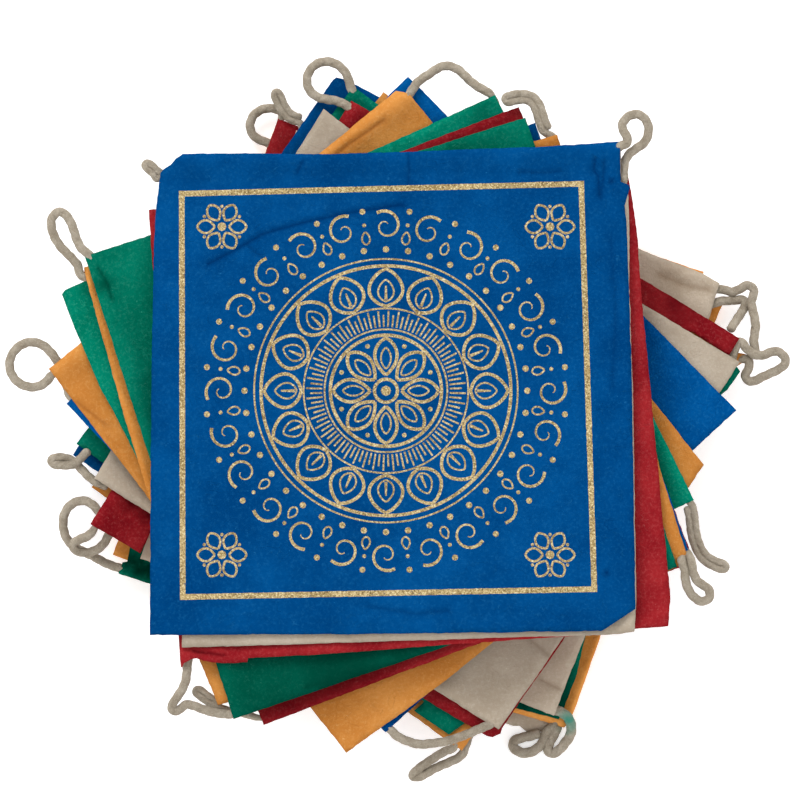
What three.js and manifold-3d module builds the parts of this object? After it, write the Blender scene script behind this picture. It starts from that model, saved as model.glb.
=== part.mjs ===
// A fanned pile of small square prayer flags, strung through their hems on one cotton cord.
// Millimetres, +Z up. The bottom flag lies on z = 0 and the pile's plan is centred on the origin.

import * as THREE from 'three';
import { mergeVertices } from 'three/addons/utils/BufferGeometryUtils.js';
import Module from 'manifold-3d';

const wasm = await Module();
wasm.setup();

// Driving dimensions
const SHEET = 1.0; // thickness of one sheet of handmade paper-cloth
const AIR = 0.3; // least gap between one flag and what it lies on
const HEM_WIDE = 3.6; // width of the hem that is folded over the cord
const HEM_HIGH = 2.4; // height of the hem at its crown
const HEM_SHOULDER = 1.7; // height of the hem at its sides
const CROWN_INSET = 0.8; // how far the crown stays inside the hem's two sides
const CORD = 2.5; // diameter of the cord
const CORD_SIDES = 8; // faces round the cord's tube
const CORD_STEP = 6; // length of one straight piece of it

// How the sheets lie: all flags crease along one grid, so that no flag cuts the next
const CELL = 22;
const CELLS = 11;
const SAG = 0.3; // how much a sheet hangs below the mean of its neighbouring points
const RIPPLE = 0.25; // depth of each sheet's own waviness
const RIPPLE_LONG = { x: 31, y: 27 }; // its length along x and y, over one radian
const RIPPLE_SHIFT = { x: 1.9, y: 2.7 }; // how far it moves on from one flag to the next
const SETTLING_ROUNDS = 80;
const CUTTER_HIGH = 120; // height of the upright blocks that cut a flag's outline
const CORNER_PIECES = 3; // straight pieces in one rounded corner

const DYES = {
  blue: '#0f5396',
  white: '#b9ac9b',
  red: '#971f2b',
  green: '#007a58',
  orange: '#d18a3a',
};
const COTTON = '#c2b6a6';

// One row a flag, from the top of the pile down: its dye, its turn in degrees, where its middle
// lies, its width and depth, how much its lower edge is wider than its upper one, the side that
// carries the hem, the corners that are rounded or torn off, the width and length of a notch at
// its upper right corner where the cord shows beside the hem, and the corners that are pulled out
// of square, as millimetres along x and y
const FLAGS = [
  { name: 'flag_01_blue', dye: 'blue', turn: 0.9, x: -1.2, y: 7.0,
    wide: 138, deep: 141.5, taper: 6, hem: 'top', round: { tl: 8, br: 8 } },
  { name: 'flag_02_white', dye: 'white', turn: 1.4, x: 2.6, y: 5.6,
    wide: 132.6, deep: 141.5, taper: 0, hem: 'right', round: {}, notch: [2.4, 10.5] },
  { name: 'flag_03_red', dye: 'red', turn: 4.4, x: 4.1, y: -1.0,
    wide: 142.2, deep: 133.5, taper: 0, hem: 'bottom', round: {} },
  { name: 'flag_04_green', dye: 'green', turn: 18.3, x: -4.2, y: -0.1,
    wide: 135.6, deep: 140, taper: 2, hem: 'left', round: { tr: 5 } },
  { name: 'flag_05_orange', dye: 'orange', turn: 16.8, x: -2.2, y: -0.6,
    wide: 143.4, deep: 131.5, taper: 0, hem: 'top', round: { tr: 4 } },
  { name: 'flag_06_blue', dye: 'blue', turn: 19.8, x: 1.2, y: -1.2,
    wide: 133.7, deep: 135.6, taper: 0, hem: 'right', round: {} },
  { name: 'flag_07_white', dye: 'white', turn: 19.8, x: 2.3, y: 0.1,
    wide: 130, deep: 134, taper: 0, hem: 'bottom', round: {} },
  { name: 'flag_08_red', dye: 'red', turn: 20.9, x: -0.9, y: -0.4,
    wide: 134.4, deep: 142.3, taper: 0, hem: 'bottom', round: {} },
  { name: 'flag_09_green', dye: 'green', turn: 25.3, x: -4.8, y: 5.3,
    wide: 139, deep: 131.6, taper: 0, hem: 'right', round: { tl: 5 },
    pull: { tl: [-1.2, 0.4], br: [1.2, -0.4], bl: [0.6, 1.3] } },
  { name: 'flag_10_orange', dye: 'orange', turn: 38.2, x: -5.4, y: -1.4,
    wide: 133, deep: 140.8, taper: 2, hem: 'top', round: { br: 7 } },
  { name: 'flag_11_blue', dye: 'blue', turn: 43.7, x: 1.3, y: 2.6,
    wide: 138.6, deep: 135, taper: 0, hem: 'left', round: {},
    pull: { br: [1.8, -0.4], bl: [-0.6, 1.3] } },
  { name: 'flag_12_white', dye: 'white', turn: 57.9, x: 5.3, y: -1.6,
    wide: 128.3, deep: 140.2, taper: 0, hem: 'left', round: {},
    pull: { br: [2, 0], bl: [-1.3, 1.5] } },
  { name: 'flag_13_red', dye: 'red', turn: 58.4, x: 7.2, y: -3.0,
    wide: 141.4, deep: 131.8, taper: -8, hem: 'top', round: {},
    pull: { tl: [-1.8, -1.5], tr: [0, -2], br: [1.4, 1.3], bl: [0.6, 2.1] } },
  { name: 'flag_14_green', dye: 'green', turn: 52.8, x: 3.5, y: 2.5,
    wide: 133.7, deep: 138.6, taper: 2, hem: 'right', round: {} },
  { name: 'flag_15_orange', dye: 'orange', turn: 53.9, x: 7.2, y: -2.1,
    wide: 141.5, deep: 131.7, taper: -3, hem: 'bottom', round: {} },
  { name: 'flag_16_blue', dye: 'blue', turn: 55.3, x: 2.6, y: 3.3,
    wide: 135, deep: 141.4, taper: 0, hem: 'left', round: { tl: 5, tr: 4 } },
  { name: 'flag_17_white', dye: 'white', turn: 69.5, x: 9.3, y: -2.0,
    wide: 134, deep: 131, taper: 0, hem: 'top', round: {} },
  { name: 'flag_18_red', dye: 'red', turn: 69.3, x: 5.0, y: 0.3,
    wide: 134, deep: 134, taper: 0, hem: 'right', round: {} },
  { name: 'flag_19_green', dye: 'green', turn: 71.6, x: 3.3, y: -6.7,
    wide: 128, deep: 134.9, taper: 0, hem: 'bottom', round: {} },
  { name: 'flag_20_orange', dye: 'orange', turn: 70.6, x: 5.9, y: -1.5,
    wide: 135, deep: 137, taper: 4, hem: 'left', round: {},
    pull: { tl: [-1.6, 0.6], tr: [1.8, 0.6], br: [-2.7, 1.6], bl: [2.3, -2.8] } },
  { name: 'flag_21_white', dye: 'white', turn: 66, x: 7.3, y: -10.6,
    wide: 120, deep: 136, taper: 0, hem: 'top', round: {} },
];

// The cord's stretches that show between one hem and the next. Each route is a list of points
// that follows the loop; a stretch that lies doubled is one tube as wide as its two strands.
const CORD_STRETCHES = [
  {
    name: 'cord_01_torn_corner',
    wide: 3.7,
    route: [
      [-68.2, 69.4, 35.5], [-70.1, 71.1, 35.6], [-72.0, 72.7, 35.6],
    ],
  },
  {
    name: 'cord_02_upper_right',
    wide: 2.5,
    route: [
      [66.0, 78.4, 37.6], [68.1, 79.3, 37.7], [67.3, 81.8, 37.5], [66.2, 84.2, 37.2],
      [68.0, 86.9, 36.8], [71.1, 87.6, 36.4], [73.4, 85.7, 36.1], [74.1, 82.8, 35.8],
      [73.1, 79.3, 35.5], [70.4, 77.0, 35.2], [68.0, 75.0, 34.9], [67.0, 72.6, 34.7],
      [66.8, 70.0, 34.6], [66.7, 67.9, 34.6],
    ],
  },
  {
    name: 'cord_03_lower_left',
    wide: 2.5,
    route: [
      [-59.9, -71.5, 32.7], [-60.5, -74.4, 32.7], [-60.9, -77.7, 32.7], [-62.2, -80.6, 32.6],
      [-64.0, -83.2, 32.3], [-65.2, -85.8, 31.9], [-63.1, -86.4, 31.6], [-60.8, -84.4, 31.4],
      [-57.6, -85.2, 31.2], [-54.7, -86.3, 30.9], [-51.5, -87.0, 30.7], [-48.0, -87.3, 30.6],
    ],
  },
  {
    name: 'cord_04_upper_left',
    wide: 2.5,
    route: [
      [-89.1, 46.9, 34.2], [-91.0, 48.1, 34.2], [-92.6, 51.0, 34.1], [-93.8, 54.8, 33.8],
      [-95.4, 57.8, 33.5], [-97.7, 59.3, 33.1], [-100.0, 57.1, 32.7], [-99.6, 53.0, 32.3],
      [-97.5, 49.2, 32.0], [-94.6, 46.2, 31.7], [-92.4, 43.7, 31.5], [-91.9, 41.5, 31.4],
      [-91.1, 40.3, 31.4],
    ],
  },
  {
    name: 'cord_05_top_hook',
    wide: 4.0,
    route: [
      [44.2, 82.8, 29.9], [42.8, 86.3, 29.8], [41.6, 90.1, 29.6], [39.6, 92.3, 29.2],
      [36.3, 92.7, 28.8], [33.1, 92.0, 28.4],
    ],
  },
  {
    name: 'cord_06_lower_right',
    wide: 2.5,
    route: [
      [83.6, -42.4, 34.5], [84.6, -45.0, 34.4], [84.9, -48.8, 33.8], [86.5, -52.3, 33.0],
      [89.4, -54.5, 32.4], [91.9, -53.3, 32.2], [91.5, -50.7, 32.4], [88.6, -48.8, 33.0],
      [87.0, -45.9, 33.8], [86.5, -42.6, 34.5],
    ],
  },
  {
    name: 'cord_07_lower_left_inner',
    wide: 3.6,
    route: [
      [-50.3, -84.7, 28.6], [-53.5, -83.5, 28.5], [-57.3, -80.7, 28.3],
    ],
  },
  {
    name: 'cord_08_right_knot',
    wide: 3.8,
    route: [
      [86.1, -26.5, 22.1], [86.8, -29.8, 21.9], [87.2, -33.9, 21.7], [88.3, -38.0, 21.5],
      [90.3, -41.5, 21.3], [93.2, -43.4, 21.1], [96.0, -44.4, 20.9],
    ],
  },
  {
    name: 'cord_09_top_arc',
    wide: 2.5,
    route: [
      [27.8, 94.6, 23.2], [26.3, 95.6, 23.1], [22.9, 96.6, 22.9], [19.4, 100.0, 22.7],
      [15.6, 101.5, 22.6], [12.1, 99.8, 22.7], [8.9, 97.1, 22.9], [4.4, 93.6, 23.0],
    ],
  },
  {
    name: 'cord_10_left_ring',
    wide: 2.5,
    route: [
      [-100.3, 11.3, 23.8], [-102.2, 9.1, 23.7], [-105.4, 8.0, 23.4], [-109.2, 9.0, 23.0],
      [-111.8, 11.9, 22.6], [-112.3, 15.7, 22.2], [-110.4, 19.3, 21.8], [-106.7, 21.2, 21.5],
      [-102.8, 20.4, 21.2], [-99.9, 17.7, 21.0], [-97.5, 13.9, 20.9], [-96.1, 9.9, 21.0],
      [-94.8, 5.5, 21.4],
    ],
  },
  {
    name: 'cord_11_bottom_arc',
    wide: 2.5,
    route: [
      [-0.9, -92.2, 21.2], [1.0, -94.0, 21.0], [4.2, -95.4, 20.6], [7.2, -96.2, 20.1],
      [11.3, -95.9, 19.7], [15.6, -95.2, 19.5], [20.0, -93.7, 19.4], [23.2, -92.4, 19.4],
    ],
  },
  {
    name: 'cord_12_left_branch',
    wide: 3.6,
    route: [
      [-87.8, -16.8, 19.7], [-90.7, -15.1, 19.4], [-93.5, -13.6, 18.8], [-97.0, -13.3, 18.0],
      [-100.2, -13.5, 17.2],
    ],
  },
  {
    name: 'cord_13_left_ring',
    wide: 2.5,
    route: [
      [-85.0, -30.1, 14.8], [-86.9, -27.6, 14.4], [-89.1, -25.6, 13.8], [-91.9, -25.1, 13.0],
      [-94.8, -26.5, 12.1], [-96.5, -29.2, 11.1], [-96.8, -32.4, 10.1], [-96.1, -35.6, 9.1],
      [-94.2, -38.1, 8.1], [-91.1, -39.9, 7.2], [-87.8, -41.5, 6.2], [-85.0, -43.1, 5.2],
      [-81.6, -44.7, 4.4],
    ],
  },
  {
    name: 'cord_14_left_strand',
    wide: 2.5,
    route: [
      [-87.9, -33.7, 17.6], [-89.3, -35.3, 17.0], [-91.4, -36.2, 16.0], [-93.8, -37.4, 14.9],
      [-93.5, -39.4, 13.9], [-90.4, -40.3, 13.3], [-87.3, -39.6, 13.3], [-85.0, -37.8, 13.6],
      [-83.7, -35.5, 14.2], [-82.6, -33.2, 14.8],
    ],
  },
  {
    name: 'cord_15_top_ring',
    wide: 2.5,
    route: [
      [-13.1, 96.8, 14.6], [-14.1, 99.6, 14.3], [-16.6, 102.2, 13.9], [-20.0, 103.2, 13.6],
      [-23.5, 102.0, 13.6], [-25.5, 98.8, 14.0], [-25.1, 95.2, 14.8], [-22.6, 92.8, 15.6],
      [-19.2, 92.0, 16.2], [-16.2, 91.4, 16.4],
    ],
  },
  {
    name: 'cord_16_right_loop',
    wide: 2.5,
    route: [
      [100.4, 21.5, 14.7], [102.9, 19.2, 14.5], [105.8, 17.3, 14.2], [108.4, 17.6, 13.8],
      [110.7, 18.6, 13.4], [113.1, 17.9, 13.1], [114.4, 15.5, 12.8], [112.5, 13.4, 12.5],
      [107.8, 11.2, 12.3], [104.3, 9.6, 12.1], [102.3, 11.2, 11.9], [103.6, 13.9, 11.8],
      [103.2, 16.3, 11.7],
    ],
  },
  {
    name: 'cord_17_right_knot',
    wide: 2.5,
    route: [
      [93.8, 36.7, 6.8], [96.1, 36.7, 6.8], [98.5, 35.8, 7.0], [101.1, 36.8, 7.4],
      [103.4, 38.0, 7.8], [105.2, 36.1, 8.3], [104.2, 33.0, 8.9], [104.9, 29.7, 9.8],
      [105.5, 26.0, 10.8], [104.9, 21.5, 11.9],
    ],
  },
  {
    name: 'cord_18_right_inner',
    wide: 2.5,
    route: [
      [91.2, 32.3, 6.8], [94.4, 32.6, 6.7], [97.3, 33.0, 6.8], [99.8, 32.3, 7.4],
      [100.5, 30.0, 9.0], [99.4, 27.2, 11.4], [97.6, 24.2, 14.6],
    ],
  },
  {
    name: 'cord_19_upper_left_ring',
    wide: 2.5,
    route: [
      [-32.8, 88.2, 6.0], [-35.4, 89.5, 5.9], [-38.6, 89.3, 5.7], [-41.4, 87.3, 5.4],
      [-42.3, 84.0, 5.1], [-41.0, 81.3, 4.9], [-39.2, 80.3, 4.8],
    ],
  },
  {
    name: 'cord_20_upper_left_bulb',
    wide: 3.7,
    route: [
      [-27.2, 86.1, 9.2], [-30.2, 86.9, 9.1], [-32.5, 89.5, 8.9], [-34.4, 93.6, 8.6],
    ],
  },
  {
    name: 'cord_21_bottom_narrow_loop',
    wide: 2.5,
    route: [
      [17.1, -97.4, 13.6], [14.5, -98.4, 13.5], [10.7, -100.8, 13.3], [6.9, -103.5, 13.0],
      [5.0, -105.7, 12.6], [7.5, -105.7, 12.2], [11.8, -103.3, 11.8], [16.2, -101.4, 11.4],
      [19.4, -99.7, 11.1], [20.6, -97.2, 10.9],
    ],
  },
  {
    name: 'cord_22_bottom_ring',
    wide: 2.5,
    route: [
      [39.0, -92.7, 1.8], [36.1, -93.7, 1.8], [34.0, -95.7, 1.7], [34.7, -97.9, 1.6],
      [37.8, -99.1, 1.6], [41.0, -98.1, 1.8], [43.3, -95.9, 2.2], [44.7, -93.8, 2.6],
    ],
  },
  {
    name: 'cord_23_bottom_loop',
    wide: 2.5,
    route: [
      [51.7, -90.5, 2.6], [52.8, -92.2, 2.6], [52.1, -95.2, 2.5], [49.5, -97.8, 2.3],
      [47.0, -99.8, 2.0], [45.2, -98.5, 1.8], [46.7, -95.7, 1.7], [48.2, -93.3, 1.7],
    ],
  },
];

const CORNER_NAMES = ['tl', 'tr', 'br', 'bl'];
const SIDE_STARTS = { top: 0, right: 1, bottom: 2, left: 3 };

function flagCorners(flag) {
  const upper = flag.wide / 2 - flag.taper / 4;
  const lower = flag.wide / 2 + flag.taper / 4;
  const half = flag.deep / 2;
  const own = [[-upper, half], [upper, half], [lower, -half], [-lower, -half]];
  const pulls = CORNER_NAMES.map((name) => new THREE.Vector2(...(flag.pull?.[name] ?? [0, 0])));
  const turn = THREE.MathUtils.degToRad(flag.turn);
  const middle = new THREE.Vector2(flag.x, flag.y);
  const centre = new THREE.Vector2();
  const turned = own.map(([x, y]) => new THREE.Vector2(x, y).rotateAround(centre, turn).add(middle));
  return turned.map((corner, k) => corner.add(pulls[k]));
}

function notchPoints(flag, [left, corner, lower]) {
  const [wide, long] = flag.notch;
  const across = left.clone().sub(corner).setLength(wide);
  const down = lower.clone().sub(corner).setLength(long);
  return [across.clone(), across.clone().add(down), down].map((step) => step.add(corner));
}

function flagShape(flag) {
  const corners = flagCorners(flag);
  const shape = new THREE.Shape();
  corners.forEach((corner, k) => {
    const before = corners[(k + 3) % 4];
    const after = corners[(k + 1) % 4];
    const cut = flag.round[CORNER_NAMES[k]] ?? 0;
    const arrive = corner.clone().add(before.clone().sub(corner).setLength(cut));
    const leave = corner.clone().add(after.clone().sub(corner).setLength(cut));
    if (flag.notch && k === 1) {
      notchPoints(flag, corners).forEach((point) => shape.lineTo(point.x, point.y));
      return;
    }
    if (k === 0) shape.moveTo(arrive.x, arrive.y);
    else shape.lineTo(arrive.x, arrive.y);
    if (cut > 0) shape.quadraticCurveTo(corner.x, corner.y, leave.x, leave.y);
  });
  shape.closePath();
  return shape;
}

// The strip along the hemmed edge, from `near` to `far` millimetres inside that edge
function hemStrip(flag, near, far) {
  const corners = flagCorners(flag);
  const start = corners[SIDE_STARTS[flag.hem]];
  const end = corners[(SIDE_STARTS[flag.hem] + 1) % 4];
  const along = end.clone().sub(start).normalize();
  if (flag.notch) start.addScaledVector(along, flag.notch[1]);
  const inward = new THREE.Vector2(along.y, -along.x);
  const at = (corner, depth) => corner.clone().addScaledVector(inward, depth);
  return [at(start, near), at(end, near), at(end, far), at(start, far)];
}

// The shared grid: square cells, each halved along one diagonal
const side = CELLS + 1;
const gridPoints = [];
for (let j = 0; j < side; j += 1) {
  for (let i = 0; i < side; i += 1) {
    gridPoints.push(new THREE.Vector2((i - CELLS / 2) * CELL, (j - CELLS / 2) * CELL));
  }
}
const gridTriangles = [];
for (let j = 0; j < CELLS; j += 1) {
  for (let i = 0; i < CELLS; i += 1) {
    const a = j * side + i;
    const b = a + 1;
    const c = b + side;
    const d = a + side;
    gridTriangles.push({ points: [a, b, c], laid: [-AIR, -AIR, -AIR] });
    gridTriangles.push({ points: [a, c, d], laid: [-AIR, -AIR, -AIR] });
  }
}

function isInside(point, polygon) {
  let inside = false;
  polygon.forEach((a, k) => {
    const b = polygon[(k + 1) % polygon.length];
    const spans = (a.y > point.y) !== (b.y > point.y);
    if (spans && point.x < a.x + ((b.x - a.x) * (point.y - a.y)) / (b.y - a.y)) inside = !inside;
  });
  return inside;
}

function edgesCross(a, b, c, d) {
  const turns = (p, q, r) => Math.sign((q.x - p.x) * (r.y - p.y) - (q.y - p.y) * (r.x - p.x));
  return turns(a, b, c) !== turns(a, b, d) && turns(c, d, a) !== turns(c, d, b);
}

function touches(triangle, polygon) {
  const corners = triangle.points.map((p) => gridPoints[p]);
  if (corners.some((corner) => isInside(corner, polygon))) return true;
  if (polygon.some((point) => isInside(point, corners))) return true;
  return corners.some((a, k) => {
    const b = corners[(k + 1) % 3];
    return polygon.some((c, m) => edgesCross(a, b, c, polygon[(m + 1) % polygon.length]));
  });
}

// Lays one flag on those below it: it rests on their highest points and hangs a little between
function settledHeights(flag, level, patch) {
  const least = new Map();
  const neighbours = new Map();
  for (const triangle of patch) {
    triangle.points.forEach((p, k) => {
      const { x, y } = gridPoints[p];
      const acrossX = Math.sin(x / RIPPLE_LONG.x + level * RIPPLE_SHIFT.x);
      const acrossY = Math.cos(y / RIPPLE_LONG.y + level * RIPPLE_SHIFT.y);
      const wave = (RIPPLE / 2) * (1 + acrossX * acrossY);
      const rest = level === 0 ? 0 : triangle.laid[k] + AIR + wave;
      least.set(p, Math.max(least.get(p) ?? 0, rest));
      if (!neighbours.has(p)) neighbours.set(p, new Set());
      triangle.points.filter((q) => q !== p).forEach((q) => neighbours.get(p).add(q));
    });
  }
  const heights = new Map(least);
  for (let round = 0; round < SETTLING_ROUNDS; round += 1) {
    for (const [p, around] of neighbours) {
      let sum = 0;
      around.forEach((q) => { sum += heights.get(q); });
      heights.set(p, Math.max(least.get(p), sum / around.size - SAG));
    }
  }
  return heights;
}

function solidOf(geometry) {
  geometry.deleteAttribute('normal');
  geometry.deleteAttribute('uv');
  const merged = mergeVertices(geometry);
  return new wasm.Manifold(new wasm.Mesh({
    numProp: 3,
    vertProperties: merged.attributes.position.array,
    triVerts: new Uint32Array(merged.index.array),
  }));
}

function geometryOf(solid) {
  const mesh = solid.getMesh();
  const geometry = new THREE.BufferGeometry();
  geometry.setAttribute('position', new THREE.BufferAttribute(mesh.vertProperties, 3));
  geometry.setIndex(new THREE.BufferAttribute(mesh.triVerts, 1));
  geometry.computeVertexNormals();
  return geometry;
}

// A closed layer over a patch of the grid, `thick` millimetres up from the settled heights
function layer(patch, heights, thick) {
  const positions = [];
  const indices = [];
  const numbers = new Map();
  const borders = new Map();
  for (const triangle of patch) {
    for (const p of triangle.points) {
      if (!numbers.has(p)) {
        numbers.set(p, positions.length / 3);
        const { x, y } = gridPoints[p];
        positions.push(x, y, heights.get(p), x, y, heights.get(p) + thick);
      }
    }
    const [a, b, c] = triangle.points.map((p) => numbers.get(p));
    indices.push(a + 1, b + 1, c + 1, a, c, b);
    for (const [from, to] of [[a, b], [b, c], [c, a]]) {
      if (borders.has(`${to},${from}`)) borders.delete(`${to},${from}`);
      else borders.set(`${from},${to}`, [from, to]);
    }
  }
  for (const [from, to] of borders.values()) {
    indices.push(from, to, to + 1, from, to + 1, from + 1);
  }
  const geometry = new THREE.BufferGeometry();
  geometry.setAttribute('position', new THREE.Float32BufferAttribute(positions, 3));
  geometry.setIndex(indices);
  return solidOf(geometry);
}

// A block from below the pile to above it, with the shape as its plan
function upright(shape) {
  const geometry = new THREE.ExtrudeGeometry(shape, {
    depth: CUTTER_HIGH,
    bevelEnabled: false,
    curveSegments: CORNER_PIECES,
  });
  geometry.translate(0, 0, -CUTTER_HIGH / 4);
  return solidOf(geometry);
}

function flagMesh(flag, level) {
  const shape = flagShape(flag);
  const patch = gridTriangles.filter((triangle) => touches(triangle, shape.getPoints(CORNER_PIECES)));
  const hem = hemStrip(flag, 0, HEM_WIDE);
  const crown = hemStrip(flag, CROWN_INSET, HEM_WIDE - CROWN_INSET);
  const hemPatch = patch.filter((triangle) => touches(triangle, hem));
  const heights = settledHeights(flag, level, patch);
  for (const triangle of patch) {
    const thick = hemPatch.includes(triangle) ? HEM_HIGH : SHEET;
    triangle.points.forEach((p, k) => {
      triangle.laid[k] = Math.max(triangle.laid[k], heights.get(p) + thick);
    });
  }
  const sheet = layer(patch, heights, SHEET);
  const shoulders = layer(hemPatch, heights, HEM_SHOULDER).intersect(upright(new THREE.Shape(hem)));
  const ridge = layer(hemPatch, heights, HEM_HIGH).intersect(upright(new THREE.Shape(crown)));
  const solid = sheet.add(shoulders).add(ridge).intersect(upright(shape));
  const material = new THREE.MeshStandardMaterial({ color: DYES[flag.dye], roughness: 0.85, metalness: 0 });
  const mesh = new THREE.Mesh(geometryOf(solid), material);
  mesh.name = flag.name;
  return mesh;
}

// One tube a stretch: its section is an octagon, drawn out sideways where the cord lies doubled
function cordMesh({ name, wide, route }) {
  const path = new THREE.CatmullRomCurve3(route.map((point) => new THREE.Vector3(...point)));
  const section = new THREE.Shape();
  section.absellipse(0, 0, CORD / 2, wide / 2, 0, 2 * Math.PI);
  const geometry = new THREE.ExtrudeGeometry(section, {
    extrudePath: path,
    steps: Math.max(2, Math.round(path.getLength() / CORD_STEP)),
    curveSegments: CORD_SIDES / 2,
  });
  const material = new THREE.MeshStandardMaterial({ color: COTTON, roughness: 0.95, metalness: 0 });
  const mesh = new THREE.Mesh(geometry, material);
  mesh.name = name;
  return mesh;
}

const pile = new THREE.Group();
[...FLAGS].reverse().forEach((flag, level) => pile.add(flagMesh(flag, level)));
CORD_STRETCHES.forEach((stretch) => pile.add(cordMesh(stretch)));

export default pile;
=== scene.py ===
"""Looks of a fanned pile of small square prayer flags, strung through their hems on one cotton cord.

Lengths are in millimetres until a piece is made, and the pile lies flat with +Z up.
"""

import math

import bpy
import numpy as np
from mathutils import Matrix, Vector, noise
from mathutils.bvhtree import BVHTree
from mathutils.geometry import delaunay_2d_cdt


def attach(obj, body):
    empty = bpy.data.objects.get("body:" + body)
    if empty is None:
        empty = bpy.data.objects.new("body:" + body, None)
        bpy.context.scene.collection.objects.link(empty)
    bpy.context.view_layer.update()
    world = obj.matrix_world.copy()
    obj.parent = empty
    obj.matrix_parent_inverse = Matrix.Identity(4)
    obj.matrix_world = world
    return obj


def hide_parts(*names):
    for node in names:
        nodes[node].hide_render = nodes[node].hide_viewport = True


MM = 0.001
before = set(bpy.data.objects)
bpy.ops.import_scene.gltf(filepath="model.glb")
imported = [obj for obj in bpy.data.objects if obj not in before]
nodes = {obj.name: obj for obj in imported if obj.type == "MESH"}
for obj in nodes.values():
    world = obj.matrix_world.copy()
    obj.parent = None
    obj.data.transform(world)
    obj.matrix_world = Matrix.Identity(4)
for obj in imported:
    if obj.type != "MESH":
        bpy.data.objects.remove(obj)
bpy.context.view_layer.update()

# Camera: the pile is seen from straight above, from so far away that nothing leans.
# The view is centred on the pile with a little white around the cord's loops.
CAMERA_HIGH = 10000
VIEW_LEVEL = 25
VIEW_WIDE = 233.4
VIEW_MIDDLE = (1.6, 4.3)
SENSOR = 36

camera = bpy.data.objects.new("camera", bpy.data.cameras.new("camera"))
camera.data.sensor_width = SENSOR
camera.data.lens = SENSOR * (CAMERA_HIGH - VIEW_LEVEL) / VIEW_WIDE
camera.location = Vector((*VIEW_MIDDLE, CAMERA_HIGH)) * MM
camera.data.clip_end = 3 * CAMERA_HIGH * MM
bpy.context.scene.collection.objects.link(camera)
bpy.context.scene.camera = camera
bpy.context.scene.view_settings.view_transform = "Standard"

# Cotton cord: one soft cord of three loosely twisted plies runs through the hems of all the flags.
# It shows where it passes from one hem to the next, as loops, bights and small doubled knots, and
# it is fuzzy, undyed and greyish, with some dye rubbed off on it.
CORD = 2.5
CORD_LEAST = 33.5
DOUBLED_STRAND = 0.53
DOUBLED_APART = 0.86
DOUBLED_STEP = 1.5
HIDDEN_LEAST = 4.5
HIDDEN_START = 1.5
HIDDEN_STEP = 3.0
HIDDEN_THIN = 0.75
THIN_OVER = 2
PLIES = 3
GROOVE = 0.16
FLUFF = 1.09
TURNS_EVERY = 8.5
LUMPS = 0.05
LUMP_LONG = 1.7
FRAY = 0.03
FRAY_LONG = 0.6
BLUNT_TIP = 0.5
RING_STEP = 0.35
EASE_ROUNDS = 8
RING_SIDES = 24
HEM_WIDE = 3.6
HEM_HIGH = 1.85
HIDDEN_RISE = 0.85
HEM_OUTSIDE = 2.1
HEM_SLOPE = 7.0
SHEET_LOW = 0.2
SHEET_THICK = 0.4
WRINKLE = 0.2
WRINKLE_WIDE = 12
LEVEL_STEP = 4
LEVEL_REACH = 116
LEVEL_SOFT = 1.6

# Where each hem's middle runs, from one mouth to the other
HEMS = {
    "flag_01_blue": ((-62.0, 74.3), (65.6, 77.0)),
    "flag_02_white": ((65.6, 67.8), (68.8, -63.9)),
    "flag_03_red": ((80.3, -60.3), (-62.2, -71.2)),
    "flag_04_green": ((-45.2, -87.8), (-88.5, 46.1)),
    "flag_05_orange": ((-89.7, 39.8), (48.3, 81.4)),
    "flag_06_blue": ((39.3, 85.0), (85.5, -43.3)),
    "flag_07_white": ((85.9, -39.1), (-37.1, -83.4)),
    "flag_08_red": ((86.9, -41.1), (-39.3, -89.3)),
    "flag_09_green": ((28.1, 94.0), (85.9, -26.0)),
    "flag_10_orange": ((-100.0, 11.5), (4.3, 93.5)),
    "flag_11_blue": ((-1.2, -91.8), (-94.4, 5.0)),
    "flag_12_white": ((30.5, -90.3), (-87.0, -16.6)),
    "flag_13_red": ((-87.5, -33.1), (-11.0, 89.9)),
    "flag_14_green": ((-13.0, 94.0), (98.6, 12.6)),
    "flag_15_orange": ((100.4, 17.0), (17.5, -96.7)),
    "flag_16_blue": ((23.6, -91.2), (-93.2, -10.3)),
    "flag_17_white": ((-74.0, -42.8), (-26.8, 83.4)),
    "flag_18_red": ((-35.0, 85.1), (91.0, 37.5)),
    "flag_19_green": ((-79.9, -44.9), (45.0, -87.0)),
    "flag_20_orange": ((49.4, -89.6), (-82.1, -39.1)),
    "flag_21_white": ((-77.7, -38.8), (-28.6, 71.5)),
}

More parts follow.
